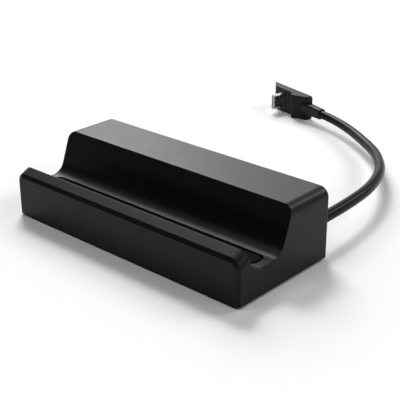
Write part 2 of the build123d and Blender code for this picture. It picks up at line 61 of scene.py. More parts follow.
class Tone:
    """One output of a node, with the operators that the finishes and the recipes use on values."""

    def __init__(self, graph: "Graph", socket: Optional[bpy.types.NodeSocket]) -> None:
        """Keep the tree and the socket."""
        self.graph = graph
        self.socket = socket

    def _math(self, operation: str, first: Feed, second: Feed) -> "Tone":
        """Add one Math node."""
        return self.graph.node("ShaderNodeMath", {"operation": operation}, {0: first, 1: second})

    def __add__(self, other: Feed) -> "Tone":
        """Sum of two values."""
        return self._math("ADD", self, other)

    def __radd__(self, other: Feed) -> "Tone":
        """Sum of two values."""
        return self._math("ADD", other, self)

    def __sub__(self, other: Feed) -> "Tone":
        """Difference of two values."""
        return self._math("SUBTRACT", self, other)

    def __rsub__(self, other: Feed) -> "Tone":
        """Difference of two values."""
        return self._math("SUBTRACT", other, self)

    def __mul__(self, other: Feed) -> "Tone":
        """Product of two values."""
        return self._math("MULTIPLY", self, other)

    def __rmul__(self, other: Feed) -> "Tone":
        """Product of two values."""
        return self._math("MULTIPLY", other, self)

    def __truediv__(self, other: Feed) -> "Tone":
        """One value over another."""
        return self._math("DIVIDE", self, other)

    def __pow__(self, other: Feed) -> "Tone":
        """Power of a value."""
        return self._math("POWER", self, other)

    def or_(self, other: Feed) -> "Tone":
        """The larger of two values."""
        return self._math("MAXIMUM", self, other)

    def swing(self, width: float) -> "Tone":
        """A noise as a swing about 0, of a given width from its lowest to its highest."""
        return (self - 0.5) * width

    def rise(self, low: float, high: float) -> "Tone":
        """A smooth step.

        Args:
            low: value at which the step is 0.
            high: value at which the step is 1.

        Returns:
            The stepped value, from 0 to 1.
        """
        return self.graph.node(
            "ShaderNodeMapRange",
            {"interpolation_type": "SMOOTHSTEP"},
            {"Value": self, "From Min": low, "From Max": high},
        )


class Graph:
    """A node tree that is written as expressions."""

    def __init__(self, tree: bpy.types.NodeTree) -> None:
        """Empty the tree and keep it."""
        self.tree = tree
        tree.nodes.clear()

    def node(
        self,
        kind: str,
        settings: Optional[Mapping[str, object]] = None,
        inputs: Optional[Mapping[Union[str, int], Feed]] = None,
        output: Union[str, int] = 0,
    ) -> Tone:
        """Add one node.

        Args:
            kind: the node's type.
            settings: its properties, set first.
            inputs: values or links of its sockets, by name or number. A list links all that it holds.
            output: the socket that is handed back.

        Returns:
            The chosen output.
        """
        made = self.tree.nodes.new(kind)
        for name, value in (settings or {}).items():
            setattr(made, name, value)
        for name, value in (inputs or {}).items():
            socket = made.inputs[name]
            feeds = value if isinstance(value, list) else [value]
            for feed in feeds:
                if isinstance(feed, Tone):
                    self.tree.links.new(feed.socket, socket)
                else:
                    socket.default_value = feed
        return Tone(self, made.outputs[output] if made.outputs else None)

    def place(self) -> Tone:
        """The surface point in the object's own metres."""
        return self.node("ShaderNodeTexCoord", output="Object")

    def stretched(self, scale: Triple) -> Tone:
        """The surface point, with each axis scaled."""
        return self.node("ShaderNodeMapping", None, {"Vector": self.place(), "Scale": scale})

    def noise(self, size: float, detail: float = 2.0, at: Optional[Tone] = None) -> Tone:
        """Soft noise.

        Args:
            size: width of a fleck, in millimetres.
            detail: number of finer layers.
            at: the point read, or the surface point.

        Returns:
            A value about 0.5.
        """
        return self.node(
            "ShaderNodeTexNoise",
            None,
            {"Vector": at or self.place(), "Scale": 1.0 / (size * MM), "Detail": detail},
        )

    def cells(self, size: float, output: str = "Distance", feature: str = "F1") -> Tone:
        """Cell noise.

        Args:
            size: width of a cell, in millimetres.
            output: the output of the texture.
            feature: which distance it gives.

        Returns:
            The chosen output.
        """
        return self.node(
            "ShaderNodeTexVoronoi",
            {"feature": feature},
            {"Vector": self.place(), "Scale": 1.0 / (size * MM)},
            output,
        )

    def blend(self, share: Feed, first: Feed, second: Feed) -> Tone:
        """Mix two colours.

        Args:
            share: 0 for the first and 1 for the second.
            first: a colour.
            second: a colour.

        Returns:
            The mixed colour.
        """
        return self.node("ShaderNodeMix", {"data_type": "RGBA"}, {0: share, 6: first, 7: second}, 2)

    def bump(self, height: Feed, depth: float) -> Tone:
        """A bumped normal.

        Args:
            height: the height, from 0 to 1.
            depth: what a height of 1 stands for, in millimetres.

        Returns:
            The normal.
        """
        return self.node("ShaderNodeBump", None, {"Height": height, "Distance": depth * MM})

    def axis(self, name: str) -> Tone:
        """One coordinate of the surface point, in metres."""
        return self.node("ShaderNodeSeparateXYZ", None, {"Vector": self.place()}, name)

    def vector(self, x: Feed = 0.0, y: Feed = 0.0, z: Feed = 0.0) -> Tone:
        """A vector from three values."""
        return self.node("ShaderNodeCombineXYZ", None, {"X": x, "Y": y, "Z": z})


def shade(colour: Sequence[float], times: float = 1.0) -> tuple[float, float, float, float]:
    """A colour as four numbers, lightened or darkened by a factor."""
    return (colour[0] * times, colour[1] * times, colour[2] * times, 1.0)


# Finishes

@dataclass(frozen=True)
class Finish:
    """A finish: its name, the record's slot that it belongs to, its colour and its roughness."""

    name: str
    slot: str
    colour: Triple
    roughness: float

    def material(self) -> bpy.types.Material:
        """Build the material, once.

        Returns:
            The material.
        """
        found = bpy.data.materials.get(self.name)
        if found:
            return found
        made = bpy.data.materials.new(self.name)
        made.use_nodes = True
        made.diffuse_color = shade(self.colour)
        graph = Graph(made.node_tree)
        shader = graph.node("ShaderNodeBsdfPrincipled", None, self.sockets(graph))
        graph.node("ShaderNodeOutputMaterial", None, {"Surface": shader})
        return made

    def sockets(self, graph: Graph) -> dict[str, Feed]:
        """The shader's inputs, by socket."""
        raise NotImplementedError

    def toned(self, graph: Graph, share: Feed, tones: tuple[float, float]) -> Tone:
        """The colour, from a darker tone to a lighter one.

        Args:
            graph: the tree that it is made in.
            share: 0 for the first tone and 1 for the second.
            tones: factors on the colour.

        Returns:
            The mixed colour.
        """
        first, second = (shade(self.colour, times) for times in tones)
        return graph.blend(share, first, second)


@dataclass(frozen=True)
class MouldedPlastic(Finish):
    """Plastic from a spark-eroded mould: fine grain, faint flow mottle, and edges polished by handling.

    Flecks and depths are in millimetres. Each polished edge runs along X, and is given by its Y and Z.
    """

    grain: float = 0.24
    grain_depth: float = 0.012
    grain_swing: float = 0.10
    gloss: float = 0.17
    pebble_times: float = 3.0
    pebble_weight: float = 1.3
    flow: float = 14.0
    flow_swing: float = 0.08
    touch: float = 5.0
    touch_weight: float = 0.3
    touch_range: tuple[float, float] = (0.25, 0.75)
    tones: tuple[float, float] = (0.75, 1.25)
    polish: float = 0.06
    polish_reach: tuple[float, float] = (0.2, 1.6)
    polished: tuple[tuple[float, float], ...] = ()

    def sockets(self, graph: Graph) -> dict[str, Feed]:
        """The shader's inputs.

        Args:
            graph: the tree that they are made in.

        Returns:
            Their values and links, by socket.
        """
        grain = graph.noise(self.grain)
        pebble = graph.noise(self.grain * self.pebble_times, detail=1.0)
        flow = graph.noise(self.flow, detail=3.0)
        touch = graph.noise(self.touch)
        rough = self.roughness + grain.swing(self.grain_swing) + flow.swing(self.flow_swing)
        near, far = (reach * MM for reach in self.polish_reach)
        worn: Feed = 0.0
        for line_y, line_z in self.polished:
            off_y = graph.axis("Y") - line_y * MM
            off_z = graph.axis("Z") - line_z * MM
            reach = (off_y * off_y + off_z * off_z) ** 0.5
            worn = (1.0 - reach.rise(near, far)) * touch.rise(*self.touch_range) + worn
        if self.polished:
            rough = rough - worn * self.polish
        height = grain + pebble * self.pebble_weight + touch * self.touch_weight
        return {
            "Base Color": self.toned(graph, grain * 0.5 + flow * 0.5, self.tones),
            "Roughness": rough,
            "Specular IOR Level": self.gloss,
            "Normal": graph.bump(height, self.grain_depth),
        }


@dataclass(frozen=True)
class Rubber(Finish):
    """Moulded rubber: duller than plastic, with a dusty bloom."""

    grain: float = 0.16
    grain_depth: float = 0.01
    grain_swing: float = 0.12
    bloom: float = 0.35
    bloom_size: float = 3.5
    bloom_range: tuple[float, float] = (0.4, 0.8)
    bloom_rough: float = 0.06
    tones: tuple[float, float] = (1.0, 1.8)
    gloss: float = 0.35

    def sockets(self, graph: Graph) -> dict[str, Feed]:
        """The shader's inputs.

        Args:
            graph: the tree that they are made in.

        Returns:
            Their values and links, by socket.
        """
        grain = graph.noise(self.grain, detail=3.0)
        bloom = graph.noise(self.bloom_size, detail=4.0).rise(*self.bloom_range)
        return {
            "Base Color": self.toned(graph, bloom * self.bloom, self.tones),
            "Roughness": self.roughness + grain.swing(self.grain_swing) + bloom * self.bloom_rough,
            "Specular IOR Level": self.gloss,
            "Normal": graph.bump(grain, self.grain_depth),
        }


@dataclass(frozen=True)
class SheetMetal(Finish):
    """Rolled and plated sheet, with fine lines and dull clouds.

    "drawn" scales the lines, which run along the axis with the smallest scale.
    """

    drawn: Triple = (1.0, 0.06, 1.0)
    line: float = 0.12
    line_depth: float = 0.004
    line_swing: float = 0.18
    cloud: float = 2.2
    cloud_share: float = 0.6
    cloud_swing: float = 0.1
    tones: tuple[float, float] = (0.82, 1.1)

    def sockets(self, graph: Graph) -> dict[str, Feed]:
        """The shader's inputs.

        Args:
            graph: the tree that they are made in.

        Returns:
            Their values and links, by socket.
        """
        lines = graph.noise(self.line, at=graph.stretched(self.drawn))
        dull = graph.noise(self.cloud, detail=3.0)
        share = dull * self.cloud_share + lines * (1.0 - self.cloud_share)
        return {
            "Base Color": self.toned(graph, share, self.tones),
            "Metallic": 1.0,
            "Roughness": self.roughness + lines.swing(self.line_swing) + dull.swing(self.cloud_swing),
            "Normal": graph.bump(lines, self.line_depth),
        }


@dataclass(frozen=True)
class Laminate(Finish):
    """Circuit board: solder mask over copper runs, with the weave showing faintly."""

    run: float = 2.6
    run_edge: tuple[float, float] = (0.04, 0.10)
    run_height: float = 0.03
    run_share: float = 0.7
    thread: float = 0.5
    thread_scale: Triple = (1.0, 4.0, 1.0)
    thread_swing: float = 0.1
    tones: tuple[float, float] = (0.7, 1.5)

    def sockets(self, graph: Graph) -> dict[str, Feed]:
        """The shader's inputs.

        Args:
            graph: the tree that they are made in.

        Returns:
            Their values and links, by socket.
        """
        runs = graph.cells(self.run, "Distance", "DISTANCE_TO_EDGE").rise(*self.run_edge)
        weave = graph.noise(self.thread, detail=1.0, at=graph.stretched(self.thread_scale))
        share = runs * self.run_share + weave * (1.0 - self.run_share)
        return {
            "Base Color": self.toned(graph, share, self.tones),
            "Roughness": self.roughness + weave.swing(self.thread_swing),
            "Normal": graph.bump(runs, self.run_height),
        }


@dataclass(frozen=True)
class Grit(Finish):
    """Pressed powder or filled resin: speckled and dull."""

    speck: float = 0.25
    speck_depth: float = 0.006
    speck_swing: float = 0.1
    tones: tuple[float, float] = (0.75, 1.35)

    def sockets(self, graph: Graph) -> dict[str, Feed]:
        """The shader's inputs.

        Args:
            graph: the tree that they are made in.

        Returns:
            Their values and links, by socket.
        """
        specks = graph.cells(self.speck, "Color")
        grey = graph.node("ShaderNodeSeparateXYZ", None, {"Vector": specks}, "X")
        return {
            "Base Color": self.toned(graph, grey, self.tones),
            "Roughness": self.roughness + grey.swing(self.speck_swing),
            "Normal": graph.bump(grey, self.speck_depth),
        }


@dataclass(frozen=True)
class LightPipe(Finish):
    """Tinted clear plastic that carries a lamp's light to the jack's face."""

    cloud: float = 0.9
    cloud_swing: float = 0.08
    tones: tuple[float, float] = (0.7, 1.2)
    varnish: float = 0.6

    def sockets(self, graph: Graph) -> dict[str, Feed]:
        """The shader's inputs.

        Args:
            graph: the tree that they are made in.

        Returns:
            Their values and links, by socket.
        """
        cloud = graph.noise(self.cloud)
        return {
            "Base Color": self.toned(graph, cloud, self.tones),
            "Roughness": self.roughness + cloud.swing(self.cloud_swing),
            "Coat Weight": self.varnish,
        }


class Finishes:
    """The dock's finishes, the shell's edges that hands polish, and how metal is drawn or turned along Z."""

    lip_edge = (-20.8, 20.5)
    rest_edge = (3.59, 29.0)
    back_edge = (25.0, 28.8)
    drawn_up = (1.0, 1.0, 0.1)
    turned_up = (1.0, 1.0, 0.2)
    case = MouldedPlastic(
        "case plastic",
        "case_plastic",
        (0.0072, 0.0072, 0.0074),
        0.40,
        polished=(lip_edge, rest_edge, back_edge),
    )
    base = MouldedPlastic(
        "base plastic", "case_plastic", (0.014, 0.014, 0.0143), 0.52, grain=0.34, grain_depth=0.02
    )
    pad = Rubber("pad rubber", "pad_rubber", (0.005, 0.005, 0.005), 0.68, gloss=0.03)
    foot = Rubber("foot rubber", "foot_rubber", (0.018, 0.018, 0.018), 0.72, bloom=0.6)
    screw = SheetMetal("black screw", "screw_steel", (0.16, 0.16, 0.165), 0.38, drawn=turned_up)
    board = Laminate("board laminate", "board_laminate", (0.012, 0.05, 0.028), 0.38)
    insert = MouldedPlastic(
        "socket insert", "socket_plastic", (0.014, 0.014, 0.015), 0.4, grain=0.15, grain_depth=0.005
    )
    plate = SheetMetal("socket plate", "socket_metal", (0.66, 0.65, 0.62), 0.26)
    gold = SheetMetal("gold contact", "contact_metal", (0.85, 0.62, 0.27), 0.24)
    chip = Grit("chip resin", "chip_plastic", (0.016, 0.016, 0.017), 0.5)
    can = SheetMetal("drawn can", "can_metal", (0.7, 0.7, 0.69), 0.3, drawn=drawn_up)
    choke = Grit("choke ferrite", "choke_plastic", (0.06, 0.06, 0.062), 0.62, speck=0.4)
    jacket = MouldedPlastic(
        "cord jacket", "cord_jacket", (0.004, 0.004, 0.004), 0.31, grain=0.3, grain_depth=0.004, gloss=0.095
    )
    plug = MouldedPlastic("plug plastic", "plug_plastic", (0.005, 0.005, 0.005), 0.44, gloss=0.19)
    liner = MouldedPlastic("plug liner", "plug_plastic", (0.5, 0.5, 0.5), 0.45, grain=0.15, grain_depth=0.005)
    tip = SheetMetal(
        "plug tip", "plug_metal", (0.82, 0.82, 0.8), 0.24, drawn=drawn_up, line_depth=0.001
    )
    green_pipe = LightPipe("green light pipe", "socket_plastic", (0.10, 0.30, 0.12), 0.2)
    amber_pipe = LightPipe("amber light pipe", "socket_plastic", (0.45, 0.22, 0.05), 0.2)


def dress(finish: Finish, *nodes: str) -> None:
    """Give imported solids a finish.

    Args:
        finish: the finish.
        nodes: names of the solids.
    """
    for name in nodes:
        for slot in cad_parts[name].material_slots:
            slot.material = finish.material()
        log.info("dressed %s: %s", name, finish.name)


def keep(piece: bpy.types.Object, finish: Finish, stands_for: Sequence[str] = ()) -> bpy.types.Object:
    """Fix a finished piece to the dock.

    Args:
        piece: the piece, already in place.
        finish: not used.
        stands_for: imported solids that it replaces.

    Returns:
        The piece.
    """
    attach(piece, BODY)
    if stands_for:
        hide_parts(*stands_for)
    log.info("made %s", piece.name)
    return piece


def new_object(name: str, data: bpy.types.ID) -> bpy.types.Object:
    """Link a new object to the scene.

    Args:
        name: its name.
        data: its mesh, curve, camera or lamp.

    Returns:
        The object.
    """
    made = bpy.data.objects.new(name, data)
    bpy.context.scene.collection.objects.link(made)
    return made


# Repeated pieces

class Holds(Enum):
    """What an input of a Geometry Nodes tree holds."""

    COUNT = "NodeSocketInt"
    SIZE = "NodeSocketFloat"
    FINISH = "NodeSocketMaterial"


@dataclass(frozen=True)
class Sizes:
    """Sizes of a repeated piece, in millimetres: each field is an input of the tree that makes it."""

    @staticmethod
    def title(field: str) -> str:
        """The name of a field's input."""
        return field.replace("_", " ").title()

    @classmethod
    def kinds(cls) -> dict[str, Holds]:
        """What each input holds."""
        return {cls.title(f.name): Holds.COUNT if f.type is int else Holds.SIZE for f in fields(cls)}

    def inputs(self) -> dict[str, float]:
        """The value of each input."""
        return {self.title(name): value for name, value in asdict(self).items()}


class Recipe:
    """A Geometry Nodes tree with named inputs that is run to give plain meshes."""

    title = "recipe"
    sized_by: type[Sizes] = Sizes
    end_share = 0.499
    end_steps = 12
    weld = 0.001

    def __init__(self) -> None:
        """Make the tree, its inputs and its nodes."""
        self.tree = bpy.data.node_groups.new(self.title, "GeometryNodeTree")
        face = self.tree.interface
        face.new_socket("Geometry", in_out="OUTPUT", socket_type="NodeSocketGeometry")
        for name, kind in {**self.sized_by.kinds(), "Finish": Holds.FINISH}.items():
            face.new_socket(name, in_out="INPUT", socket_type=kind.value)
        self.graph = Graph(self.tree)
        whole = self.node("RealizeInstances", {"Geometry": self.shape()})
        dressed = self.node("SetMaterial", {"Geometry": whole, "Material": self.given("Finish")})
        self.graph.node("NodeGroupOutput", None, {"Geometry": dressed})

    def given(self, name: str) -> Tone:
        """The value of a named input."""
        return self.graph.node("NodeGroupInput", output=name)

    def node(self, kind: str, inputs: Mapping[str, Feed], **settings: object) -> Tone:
        """Add one geometry node.

        Args:
            kind: the node's type, without its prefix.
            inputs: values or links of its sockets.
            settings: its properties.

        Returns:
            Its first output.
        """
        return self.graph.node(f"GeometryNode{kind}", settings, inputs)

    def shape(self) -> Tone:
        """The geometry that the tree makes."""
        raise NotImplementedError

    def stadium(self, length: Feed, width: Feed) -> Tone:
        """A long outline with round ends.

        Args:
            length: along X.
            width: along Y.

        Returns:
            The closed curve.
        """
        return self.rounded(self.oblong(length, width), width * self.end_share, self.end_steps)

    def oblong(self, length: Feed, width: Feed) -> Tone:
        """An outline with four square corners."""
        return self.node("CurvePrimitiveQuadrilateral", {"Width": length, "Height": width}, mode="RECTANGLE")

    def rounded(self, outline: Feed, radius: Feed, steps: int) -> Tone:
        """Round an outline's corners.

        Args:
            outline: the outline.
            radius: radius of the corners.
            steps: points on each corner.

        Returns:
            The rounded outline.
        """
        sizes = {"Curve": outline, "Radius": radius, "Count": steps, "Limit Radius": True}
        return self.node("FilletCurve", sizes, mode="POLY")

    def slab(self, outline: Feed, depth: Feed) -> Tone:
        """A closed plate.

        Args:
            outline: its edge, and the edges of its holes.
            depth: its thickness along Z.

        Returns:
            The plate, standing on the outline.
        """
        face = self.node("FillCurve", {"Curve": outline}, mode="TRIANGLES")
        pull = {"Mesh": face, "Offset Scale": depth, "Individual": False}
        sides = self.node("ExtrudeMesh", pull, mode="FACES")
        closed = self.node("JoinGeometry", {"Geometry": [sides, self.node("FlipFaces", {"Mesh": face})]})
        return self.node("MergeByDistance", {"Geometry": closed, "Distance": self.weld})

    def row(self, count: Feed, start: Tone, step: Tone) -> Tone:
        """Points in a straight row.

        Args:
            count: how many.
            start: the first point.
            step: from one point to the next.

        Returns:
            The points.
        """
        line = {"Count": count, "Start Location": start, "Offset": step}
        return self.node("MeshLine", line, mode="OFFSET")

    def run(self, name: str, finish: Finish, sizes: Sizes, to: Matrix) -> bpy.types.Object:
        """Run the tree.

        Args:
            name: name of the piece.
            finish: what the piece is made of.
            sizes: the tree's inputs.
            to: where the result goes, in millimetres.

        Returns:
            The piece, as a plain mesh with its place in the mesh.
        """
        holder = new_object(f"{name}_maker", bpy.data.meshes.new(name))
        modifier = holder.modifiers.new(self.title, "NODES")
        modifier.node_group = self.tree
        given = {**sizes.inputs(), "Finish": finish.material()}
        for item in self.tree.interface.items_tree:
            if item.in_out == "INPUT":
                modifier[item.identifier] = given[item.name]
        depsgraph = bpy.context.evaluated_depsgraph_get()
        mesh = bpy.data.meshes.new_from_object(holder.evaluated_get(depsgraph))
        bpy.data.objects.remove(holder)
        mesh.transform(Matrix.Scale(MM, 4) @ to)
        return finished(name, mesh)


@dataclass(frozen=True)
class Leaves(Sizes):
    """Sizes of a row of contact leaves or springs."""

    count: int
    pitch: float
    width: float
    thickness: float
    length: float
    rise: float = 0.0


class LeafRow(Recipe):
    """Metal leaves side by side along X, each running along Y and bending up along Z."""

    title = "leaf row"
    sized_by = Leaves
    bend_steps = 10
    flat_share = 0.4
    crest_share = 0.62
    crest_times = 1.7
    tip_times = 0.6

    def shape(self) -> Tone:
        """Build the nodes.

        Returns:
            The row of leaves.
        """
        count, pitch, length, rise = (self.given(name) for name in ("Count", "Pitch", "Length", "Rise"))
        vector = self.graph.vector
        row = self.row(count, vector((count - 1.0) * pitch * -0.5), vector(pitch))
        path = self.node(
            "CurvePrimitiveBezierSegment",
            {
                "Resolution": self.bend_steps,
                "Start": vector(),
                "Start Handle": vector(0.0, length * self.flat_share, 0.0),
                "End Handle": vector(0.0, length * self.crest_share, rise * self.crest_times),
                "End": vector(0.0, length, rise * self.tip_times),
            },
            mode="POSITION",
        )
        strip = self.oblong(self.given("Width"), self.given("Thickness"))
        leaf = self.node("CurveToMesh", {"Curve": path, "Profile Curve": strip, "Fill Caps": True})
        return self.node("InstanceOnPoints", {"Points": row, "Instance": leaf})


@dataclass(frozen=True)
class FootSizes(Sizes):
    """Sizes of a pair of ribbed feet."""

    length: float
    width: float
    spread: float
    height: float
    tread: float
    rim: float
    rib: float
    pitch: float


class GripFeet(Recipe):
    """Two long feet across Y: plates with round ends, a rim and cross ribs that stand on the table."""

    title = "grip feet"
    sized_by = FootSizes
    rib_steps = 3

    def shape(self) -> Tone:
        """Build the nodes.

        Returns:
            The pair of feet.
        """
        length, width, tread = self.given("Length"), self.given("Width"), self.given("Tread")
        rim, rib, pitch = self.given("Rim"), self.given("Rib"), self.given("Pitch")
        vector = self.graph.vector
        plate = self.slab(self.stadium(length, width), self.given("Height") - tread)
        plate = self.node("Transform", {"Geometry": plate, "Translation": vector(0.0, 0.0, tread)})
        edge = [self.stadium(length, width), self.stadium(length - rim * 2.0, width - rim * 2.0)]
        ring = self.slab(self.node("JoinGeometry", {"Geometry": edge}), tread)
        reach = width * 0.5 - rim
        bar = self.node("CurvePrimitiveLine", {"Start": vector(0.0, reach * -1.0), "End": vector(0.0, reach)})
        bead = self.rounded(self.oblong(rib, tread * 2.0), tread * 0.5, self.rib_steps)
        ridge = self.node("CurveToMesh", {"Curve": bar, "Profile Curve": bead, "Fill Caps": True})
        run = length - width
        row = self.row(run / pitch, vector(run * -0.5 + pitch * 0.5, 0.0, tread), vector(pitch))
        ribs = self.node("InstanceOnPoints", {"Points": row, "Instance": ridge})
        foot = self.node("JoinGeometry", {"Geometry": [plate, ring, ribs]})
        spread = self.given("Spread")
        pair = self.row(2, vector(0.0, spread * -0.5), vector(0.0, spread))
        return self.node("InstanceOnPoints", {"Points": pair, "Instance": foot})


@dataclass(frozen=True)
class BlockSizes(Sizes):
    """Sizes of a slotted block."""

    length: float
    width: float
    slot_length: float
    slot_width: float
    depth: float


class SlottedBlock(Recipe):
    """A block with round ends and a slot through it, such as the liner of a plug's metal tip."""

    title = "slotted block"
    sized_by = BlockSizes

    def shape(self) -> Tone:
        """Build the nodes.

        Returns:
            The block, standing on its rear face.
        """
        outer = self.stadium(self.given("Length"), self.given("Width"))
        inner = self.stadium(self.given("Slot Length"), self.given("Slot Width"))
        return self.slab(self.node("JoinGeometry", {"Geometry": [outer, inner]}), self.given("Depth"))


@dataclass(frozen=True)
class LensSizes(Sizes):
    """Sizes of a lens."""

    length: float
    width: float
    corner: float
    depth: float
    dome: float


class Lens(Recipe):
    """A small block with rounded corners and a stepped-in, domed face."""

    title = "lens"
    sized_by = LensSizes
    corner_steps = 5
    dome_share = 0.94
    dome_segments = 24
    dome_rings = 12

    def shape(self) -> Tone:
        """Build the nodes.

        Returns:
            The lens, standing on its rear face.
        """
        length, width, dome = self.given("Length"), self.given("Width"), self.given("Dome")
        edge = self.rounded(self.oblong(length, width), self.given("Corner"), self.corner_steps)
        body = self.slab(edge, self.given("Depth"))
        ball = self.node(
            "MeshUVSphere", {"Segments": self.dome_segments, "Rings": self.dome_rings, "Radius": 0.5}
        )
        cap = self.node(
            "Transform",
            {
                "Geometry": ball,
                "Translation": self.graph.vector(0.0, 0.0, self.given("Depth")),
                "Scale": self.graph.vector(length * self.dome_share, width * self.dome_share, dome * 2.0),
            },
        )
        return self.node("JoinGeometry", {"Geometry": [body, cap]})


def finished(name: str, mesh: bpy.types.Mesh, sharp_from: float = 32.0) -> bpy.types.Object:
    """Turn a mesh's faces outwards, smooth its gentle edges and link it.

    Args:
        name: name of the piece.
        mesh: the mesh, already in place.
        sharp_from: edges that turn by more than this stay sharp, in degrees.

    Returns:
        The piece, at the origin.
    """
    shape = bmesh.new()
    shape.from_mesh(mesh)
    bmesh.ops.recalc_face_normals(shape, faces=shape.faces)
    shape.to_mesh(mesh)
    shape.free()
    mesh.name = name
    mesh.shade_smooth()
    mesh.set_sharp_from_angle(angle=math.radians(sharp_from))
    return new_object(name, mesh)


def frame_at(origin: Sequence[float], across: Sequence[float], along: Sequence[float]) -> Matrix:
    """A placing matrix.

    Args:
        origin: where the local origin goes, in millimetres.
        across: where the local X points.
        along: where the local Y points.

    Returns:
        The matrix.
    """
    x, y = Vector(across).normalized(), Vector(along).normalized()
    turned = Matrix((x, y, x.cross(y))).transposed().to_4x4()
    return Matrix.Translation(Vector(origin)) @ turned


def towards(azimuth: float, elevation: float) -> Vector:
    """A direction away from the dock.

    Args:
        azimuth: degrees round Z, from -Y towards +X.
        elevation: degrees above the table.

    Returns:
        The direction, of length 1.
    """
    turn, rise = math.radians(azimuth), math.radians(elevation)
    return Vector((math.sin(turn) * math.cos(rise), -math.cos(turn) * math.cos(rise), math.sin(rise)))


# Camera and studio

@dataclass(frozen=True)
class PhotoCamera:
    """Camera at the photograph's viewing angle, fitted to the dock's edges: degrees and millimetres."""

    azimuth: float = 42.316
    elevation: float = 24.103
    roll: float = -0.390
    target: Triple = (18.287, 0.0, 20.570)
    distance: float = 352.02
    lens: float = 85.59
    sensor: float = 36.0
    nearest: float = 10.0
    farthest: float = 50000.0

    def build(self) -> bpy.types.Object:
        """Make the camera and set it as the scene's.

        Returns:
            The camera.
        """
        turn, roll = math.radians(self.azimuth), math.radians(self.roll)
        back = towards(self.azimuth, self.elevation)
        right = Vector((math.cos(turn), math.sin(turn), 0.0))
        up = back.cross(right)
        rolled = math.cos(roll) * right + math.sin(roll) * up
        data = bpy.data.cameras.new("photo camera")
        data.lens, data.sensor_width = self.lens, self.sensor
        data.clip_start, data.clip_end = self.nearest * MM, self.farthest * MM
        camera = new_object("photo_camera", data)
        turned = Matrix((rolled, back.cross(rolled), back)).transposed().to_4x4()
        camera.matrix_world = Matrix.Translation((Vector(self.target) + back * self.distance) * MM) @ turned
        bpy.context.scene.camera = camera
        return camera


@dataclass(frozen=True)
class Softbox:
    """A soft lamp that looks at the dock: its direction in degrees, and its distance and size in metres."""

    name: str
    azimuth: float
    elevation: float
    distance: float
    width: float
    height: float
    glow: float

    def build(self, aim: Vector) -> bpy.types.Object:
        """Make the lamp, looking at a point.

        Args:
            aim: the point, in metres.

        Returns:
            The lamp.
        """
        away = towards(self.azimuth, self.elevation)
        data = bpy.data.lights.new(self.name, "AREA")
        data.shape = "RECTANGLE"
        data.size, data.size_y = self.width, self.height
        data.energy = self.glow * math.pi * self.width * self.height
        lamp = new_object(self.name, data)
        turned = away.to_track_quat("Z", "Y").to_matrix().to_4x4()
        lamp.matrix_world = Matrix.Translation(aim + away * self.distance) @ turned
        lamp.visible_camera = False
        return lamp


@dataclass(frozen=True)
class Card:
    """A tall card curved round the dock: its first and last azimuth, and how bright gloss sees it."""

    name: str
    first: float
    last: float
    grey: float


